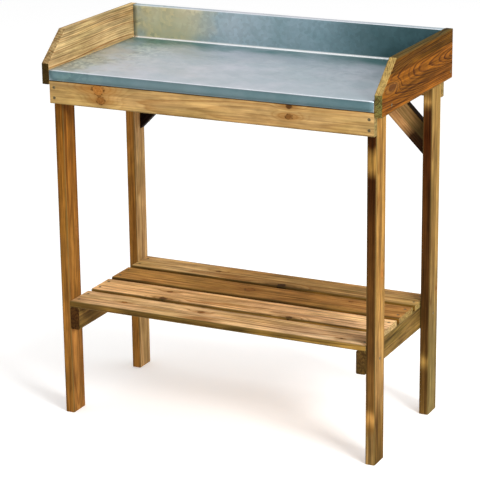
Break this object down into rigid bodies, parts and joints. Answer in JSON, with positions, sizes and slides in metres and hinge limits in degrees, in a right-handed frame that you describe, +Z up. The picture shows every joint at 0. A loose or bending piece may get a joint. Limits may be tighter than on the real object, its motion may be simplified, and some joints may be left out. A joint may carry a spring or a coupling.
{
  "type": "potting bench",
  "caption": "Pine potting bench with a folded zinc worktop, a raised back and sides to keep soil in, and a slatted lower shelf.",
  "frame": {"origin": "on the floor, under the middle of the bench's width and depth", "axes": "+X across the bench to the user's right, +Y from the open front to the raised back, +Z up"},
  "size_m": [0.8, 0.406, 0.88],
  "materials": {
    "pine_leg": "sawn and planed softwood, brown-green preservative, dry matt",
    "pine_board": "planed softwood, brown-green preservative, dry matt",
    "pine_slat": "planed softwood, brown-green preservative, dry matt",
    "pine_frame": "sawn softwood, brown-green preservative, dry matt",
    "zinc": "galvanised sheet with fine spangle, satin, slightly clouded",
    "screw": "yellow-passivated steel, dulled",
    "galvanised_nail": "galvanised steel, dull"
  },
  "bodies": {
    "root": {"apron_screws": "screw", "back_board": "pine_board", "back_board_screws": "screw", "back_rail": "pine_frame", "back_rail_screws": "screw", "brace_left": "pine_frame", "brace_right": "pine_frame", "brace_screws": "screw", "front_apron": "pine_board", "leg_back_left": "pine_leg", "leg_back_right": "pine_leg", "leg_front_left": "pine_leg", "leg_front_right": "pine_leg", "sheet_nails": "galvanised_nail", "shelf_bearer_left": "pine_frame", "shelf_bearer_right": "pine_frame", "shelf_bearer_screws": "screw", "shelf_slat_1": "pine_slat", "shelf_slat_2": "pine_slat", "shelf_slat_3": "pine_slat", "shelf_slat_4": "pine_slat", "shelf_slat_screws": "screw", "side_board_left": "pine_board", "side_board_right": "pine_board", "side_board_screws": "screw", "worktop_bearer_left": "pine_frame", "worktop_bearer_right": "pine_frame", "worktop_bearer_screws": "screw", "worktop_slat_1": "pine_slat", "worktop_slat_2": "pine_slat", "worktop_slat_3": "pine_slat", "worktop_slat_4": "pine_slat", "worktop_slat_screws": "screw", "zinc_sheet": "zinc"}
  },
  "joints": []
}
